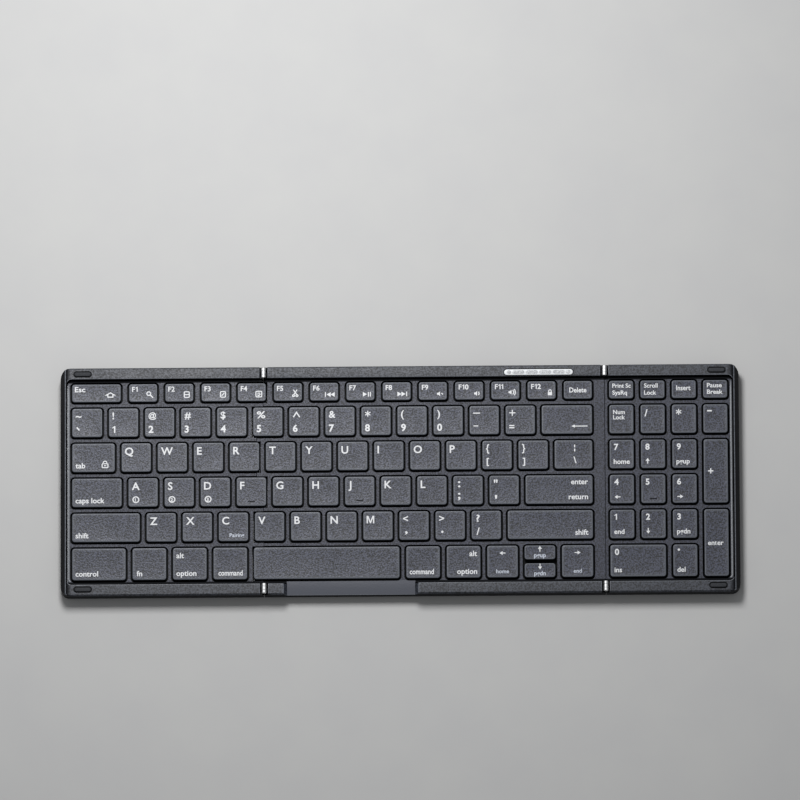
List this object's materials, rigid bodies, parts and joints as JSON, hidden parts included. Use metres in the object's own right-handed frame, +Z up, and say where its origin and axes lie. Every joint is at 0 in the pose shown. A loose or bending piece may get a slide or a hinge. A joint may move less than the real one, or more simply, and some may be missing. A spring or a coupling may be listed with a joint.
{
  "type": "folding keyboard",
  "caption": "Slim wireless keyboard with a number pad in three sections; both wings fold flat onto the middle on steel barrel hinges, with low scissor-switch keys.",
  "frame": {"origin": "on the desk under the middle of the open keyboard", "axes": "+X along the rows to the number pad, +Y back towards the function row, +Z up from the desk through the keys"},
  "size_m": [0.3378, 0.1168, 0.0093],
  "materials": {
    "shell": "fine matte",
    "key_frame": "smooth matte",
    "keycap": "matte, fine grain",
    "plate_steel": "stamped",
    "membrane_film": "black printed film",
    "dome_rubber": "soft silicone",
    "link_plastic": "smooth",
    "foot_rubber": "matte",
    "bumper_rubber": "matte",
    "screw_steel": "satin",
    "hinge_steel": "polished satin",
    "board_laminate": "solder mask",
    "battery_pouch": "foil pouch",
    "socket_steel": "satin",
    "window_plastic": "frosted",
    "ribbon_film": "flexible film with a black cover"
  },
  "bodies": {
    "middle": {"middle_bottom_shell": "shell", "middle_key_frame": "key_frame", "middle_key_plate": "plate_steel", "middle_membrane": "membrane_film", "middle_domes": "dome_rubber", "middle_scissors": "link_plastic", "middle_feet": "foot_rubber", "middle_screws": "screw_steel", "middle_hinge_knuckles": "hinge_steel", "hinge_pins": "hinge_steel", "controller_board": "board_laminate", "battery": "battery_pouch", "charging_socket": "socket_steel", "indicator_window": "window_plastic", "left_ribbon_cable": "ribbon_film", "right_ribbon_cable": "ribbon_film"},
    "left_wing": {"left_bottom_shell": "shell", "left_key_frame": "key_frame", "left_key_plate": "plate_steel", "left_membrane": "membrane_film", "left_domes": "dome_rubber", "left_scissors": "link_plastic", "left_feet": "foot_rubber", "left_bumpers": "bumper_rubber", "left_screws": "screw_steel", "left_hinge_knuckles": "hinge_steel"},
    "right_wing": {"right_bottom_shell": "shell", "right_key_frame": "key_frame", "right_key_plate": "plate_steel", "right_membrane": "membrane_film", "right_domes": "dome_rubber", "right_scissors": "link_plastic", "right_feet": "foot_rubber", "right_bumpers": "bumper_rubber", "right_screws": "screw_steel", "right_hinge_knuckles": "hinge_steel"},
    "escape_key": {"escape_key": "keycap"},
    "left_function_keys": {"left_function_keys": "keycap"},
    "left_number_keys": {"left_number_keys": "keycap"},
    "left_upper_keys": {"left_upper_keys": "keycap"},
    "left_home_keys": {"left_home_keys": "keycap"},
    "left_shift_key": {"left_shift_key": "keycap"},
    "left_lower_keys": {"left_lower_keys": "keycap"},
    "left_bottom_keys": {"left_bottom_keys": "keycap"},
    "middle_function_keys": {"middle_function_keys": "keycap"},
    "middle_number_keys": {"middle_number_keys": "keycap"},
    "backspace_key": {"backspace_key": "keycap"},
    "middle_upper_keys": {"middle_upper_keys": "keycap"},
    "middle_home_keys": {"middle_home_keys": "keycap"},
    "enter_key": {"enter_key": "keycap"},
    "middle_lower_keys": {"middle_lower_keys": "keycap"},
    "right_shift_key": {"right_shift_key": "keycap"},
    "middle_bottom_keys": {"middle_bottom_keys": "keycap"},
    "space_bar": {"space_bar": "keycap"},
    "pad_function_keys": {"pad_function_keys": "keycap"},
    "pad_number_keys": {"pad_number_keys": "keycap"},
    "pad_upper_keys": {"pad_upper_keys": "keycap"},
    "pad_home_keys": {"pad_home_keys": "keycap"},
    "pad_lower_keys": {"pad_lower_keys": "keycap"},
    "pad_bottom_keys": {"pad_bottom_keys": "keycap"}
  },
  "joints": [
    {"name": "left_fold", "type": "hinge", "parent": "middle", "child": "left_wing", "pos_m": [-0.06778, 0.05525, 0.0082], "axis": [0, 1, 0], "range_deg": [0, 180], "deforming": ["left_ribbon_cable"]},
    {"name": "right_fold", "type": "hinge", "parent": "middle", "child": "right_wing", "pos_m": [0.10204, 0.05525, 0.0082], "axis": [0, -1, 0], "range_deg": [0, 180], "deforming": ["right_ribbon_cable"]},
    {"name": "escape_press", "type": "slide", "parent": "left_wing", "child": "escape_key", "axis": [0, 0, -1], "range_m": [0, 0.0014], "stiffness_N_per_m": 200, "springref_m": -0.0006, "deforming": ["left_domes", "left_scissors"]},
    {"name": "left_function_press", "type": "slide", "parent": "left_wing", "child": "left_function_keys", "axis": [0, 0, -1], "range_m": [0, 0.0014], "stiffness_N_per_m": 800, "springref_m": -0.0006, "deforming": ["left_domes", "left_scissors"]},
    {"name": "left_number_press", "type": "slide", "parent": "left_wing", "child": "left_number_keys", "axis": [0, 0, -1], "range_m": [0, 0.0014], "stiffness_N_per_m": 1000, "springref_m": -0.0006, "deforming": ["left_domes", "left_scissors"]},
    {"name": "left_upper_press", "type": "slide", "parent": "left_wing", "child": "left_upper_keys", "axis": [0, 0, -1], "range_m": [0, 0.0014], "stiffness_N_per_m": 1000, "springref_m": -0.0006, "deforming": ["left_domes", "left_scissors"]},
    {"name": "left_home_press", "type": "slide", "parent": "left_wing", "child": "left_home_keys", "axis": [0, 0, -1], "range_m": [0, 0.0014], "stiffness_N_per_m": 1000, "springref_m": -0.0006, "deforming": ["left_domes", "left_scissors"]},
    {"name": "left_shift_press", "type": "slide", "parent": "left_wing", "child": "left_shift_key", "axis": [0, 0, -1], "range_m": [0, 0.0014], "stiffness_N_per_m": 200, "springref_m": -0.0006, "deforming": ["left_domes", "left_scissors"]},
    {"name": "left_lower_press", "type": "slide", "parent": "left_wing", "child": "left_lower_keys", "axis": [0, 0, -1], "range_m": [0, 0.0014], "stiffness_N_per_m": 600, "springref_m": -0.0006, "deforming": ["left_domes", "left_scissors"]},
    {"name": "left_bottom_press", "type": "slide", "parent": "left_wing", "child": "left_bottom_keys", "axis": [0, 0, -1], "range_m": [0, 0.0014], "stiffness_N_per_m": 800, "springref_m": -0.0006, "deforming": ["left_domes", "left_scissors"]},
    {"name": "middle_function_press", "type": "slide", "parent": "middle", "child": "middle_function_keys", "axis": [0, 0, -1], "range_m": [0, 0.0014], "stiffness_N_per_m": 1800, "springref_m": -0.0006, "deforming": ["middle_domes", "middle_scissors"]},
    {"name": "middle_number_press", "type": "slide", "parent": "middle", "child": "middle_number_keys", "axis": [0, 0, -1], "range_m": [0, 0.0014], "stiffness_N_per_m": 1600, "springref_m": -0.0006, "deforming": ["middle_domes", "middle_scissors"]},
    {"name": "backspace_press", "type": "slide", "parent": "middle", "child": "backspace_key", "axis": [0, 0, -1], "range_m": [0, 0.0014], "stiffness_N_per_m": 200, "springref_m": -0.0006, "deforming": ["middle_domes", "middle_scissors"]},
    {"name": "middle_upper_press", "type": "slide", "parent": "middle", "child": "middle_upper_keys", "axis": [0, 0, -1], "range_m": [0, 0.0014], "stiffness_N_per_m": 1800, "springref_m": -0.0006, "deforming": ["middle_domes", "middle_scissors"]},
    {"name": "middle_home_press", "type": "slide", "parent": "middle", "child": "middle_home_keys", "axis": [0, 0, -1], "range_m": [0, 0.0014], "stiffness_N_per_m": 1400, "springref_m": -0.0006, "deforming": ["middle_domes", "middle_scissors"]},
    {"name": "enter_press", "type": "slide", "parent": "middle", "child": "enter_key", "axis": [0, 0, -1], "range_m": [0, 0.0014], "stiffness_N_per_m": 200, "springref_m": -0.0006, "deforming": ["middle_domes", "middle_scissors"]},
    {"name": "middle_lower_press", "type": "slide", "parent": "middle", "child": "middle_lower_keys", "axis": [0, 0, -1], "range_m": [0, 0.0014], "stiffness_N_per_m": 1400, "springref_m": -0.0006, "deforming": ["middle_domes", "middle_scissors"]},
    {"name": "right_shift_press", "type": "slide", "parent": "middle", "child": "right_shift_key", "axis": [0, 0, -1], "range_m": [0, 0.0014], "stiffness_N_per_m": 200, "springref_m": -0.0006, "deforming": ["middle_domes", "middle_scissors"]},
    {"name": "middle_bottom_press", "type": "slide", "parent": "middle", "child": "middle_bottom_keys", "axis": [0, 0, -1], "range_m": [0, 0.0014], "stiffness_N_per_m": 1200, "springref_m": -0.0006, "deforming": ["middle_domes", "middle_scissors"]},
    {"name": "space_press", "type": "slide", "parent": "middle", "child": "space_bar", "axis": [0, 0, -1], "range_m": [0, 0.0014], "stiffness_N_per_m": 200, "springref_m": -0.0006, "deforming": ["middle_domes", "middle_scissors"]},
    {"name": "pad_function_press", "type": "slide", "parent": "right_wing", "child": "pad_function_keys", "axis": [0, 0, -1], "range_m": [0, 0.0014], "stiffness_N_per_m": 800, "springref_m": -0.0006, "deforming": ["right_domes", "right_scissors"]},
    {"name": "pad_number_press", "type": "slide", "parent": "right_wing", "child": "pad_number_keys", "axis": [0, 0, -1], "range_m": [0, 0.0014], "stiffness_N_per_m": 800, "springref_m": -0.0006, "deforming": ["right_domes", "right_scissors"]},
    {"name": "pad_upper_press", "type": "slide", "parent": "right_wing", "child": "pad_upper_keys", "axis": [0, 0, -1], "range_m": [0, 0.0014], "stiffness_N_per_m": 800, "springref_m": -0.0006, "deforming": ["right_domes", "right_scissors"]},
    {"name": "pad_home_press", "type": "slide", "parent": "right_wing", "child": "pad_home_keys", "axis": [0, 0, -1], "range_m": [0, 0.0014], "stiffness_N_per_m": 600, "springref_m": -0.0006, "deforming": ["right_domes", "right_scissors"]},
    {"name": "pad_lower_press", "type": "slide", "parent": "right_wing", "child": "pad_lower_keys", "axis": [0, 0, -1], "range_m": [0, 0.0014], "stiffness_N_per_m": 800, "springref_m": -0.0006, "deforming": ["right_domes", "right_scissors"]},
    {"name": "pad_bottom_press", "type": "slide", "parent": "right_wing", "child": "pad_bottom_keys", "axis": [0, 0, -1], "range_m": [0, 0.0014], "stiffness_N_per_m": 400, "springref_m": -0.0006, "deforming": ["right_domes", "right_scissors"]}
  ]
}
